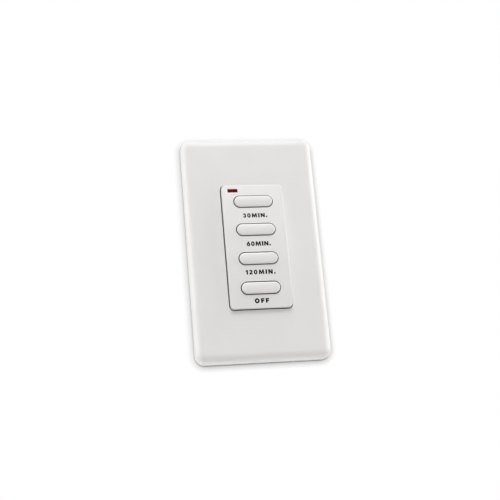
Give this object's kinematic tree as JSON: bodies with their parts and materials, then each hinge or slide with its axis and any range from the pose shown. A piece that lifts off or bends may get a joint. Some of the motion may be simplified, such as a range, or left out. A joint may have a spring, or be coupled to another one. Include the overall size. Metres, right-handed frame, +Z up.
{
  "type": "timer light switch",
  "caption": "Wall timer switch with a rounded cover plate, a crowned insert with a column of capsule push buttons for set times and off, and a small red indicator window.",
  "frame": {"origin": "the centre of the cover plate, in the plane of the wall's surface that its rim rests on", "axes": "+Z up, +Y into the wall, -Y out of the wall towards the user, +X to the user's right"},
  "size_m": [0.071, 0.0421, 0.1206],
  "materials": {
    "plate_white": "fine satin",
    "insert_white": "fine satin",
    "button_white": "satin",
    "frame_white": "moulded",
    "zinc_steel": "zinc plated",
    "screw_steel": "zinc plated",
    "retainer_fibre": "pressed fibre",
    "ground_green": "green dyed plating",
    "lens_red": "clear dark red",
    "lamp_white": "clear moulded",
    "board_green": "solder mask",
    "chip_black": "moulded",
    "shield_tin": "tinned",
    "relay_blue": "moulded",
    "core_brown": "taped winding",
    "film_grey": "moulded",
    "can_black": "sleeved",
    "varistor_blue": "dipped",
    "housing_grey": "moulded, fine texture",
    "terminal_brass": "plain",
    "neutral_nickel": "nickel plated"
  },
  "bodies": {
    "device": {"wall_plate": "plate_white", "plate_frame": "frame_white", "plate_frame_screws": "screw_steel", "mounting_strap": "zinc_steel", "box_screws": "screw_steel", "screw_retainers": "retainer_fibre", "ground_screw": "ground_green", "face_bezel": "insert_white", "led_lens": "lens_red", "indicator_led": "lamp_white", "control_board": "board_green", "board_screws": "screw_steel", "microcontroller": "chip_black", "radio_module": "shield_tin", "board_header": "chip_black", "power_board": "board_green", "relay": "relay_blue", "transformer": "core_brown", "filter_capacitor": "film_grey", "storage_capacitor": "can_black", "fuse": "can_black", "varistor": "varistor_blue", "rear_housing": "housing_grey", "housing_screws": "screw_steel", "tact_switch_30min": "chip_black", "tact_switch_60min": "chip_black", "tact_switch_120min": "chip_black", "tact_switch_off": "chip_black", "terminal_lug_line": "terminal_brass", "terminal_screw_line": "terminal_brass", "terminal_lug_load": "terminal_brass", "terminal_screw_load": "terminal_brass", "terminal_lug_neutral": "neutral_nickel", "terminal_screw_neutral": "neutral_nickel"},
    "button_30min": {"button_30min": "button_white", "switch_stem_30min": "chip_black"},
    "button_60min": {"button_60min": "button_white", "switch_stem_60min": "chip_black"},
    "button_120min": {"button_120min": "button_white", "switch_stem_120min": "chip_black"},
    "button_off": {"button_off": "button_white", "switch_stem_off": "chip_black"}
  },
  "joints": [
    {"name": "press_30min", "type": "slide", "parent": "device", "child": "button_30min", "axis": [0, 1, 0], "range_m": [0, 0.0006], "stiffness_N_per_m": 1500},
    {"name": "press_60min", "type": "slide", "parent": "device", "child": "button_60min", "axis": [0, 1, 0], "range_m": [0, 0.0006], "stiffness_N_per_m": 1500},
    {"name": "press_120min", "type": "slide", "parent": "device", "child": "button_120min", "axis": [0, 1, 0], "range_m": [0, 0.0006], "stiffness_N_per_m": 1500},
    {"name": "press_off", "type": "slide", "parent": "device", "child": "button_off", "axis": [0, 1, 0], "range_m": [0, 0.0006], "stiffness_N_per_m": 1500}
  ]
}
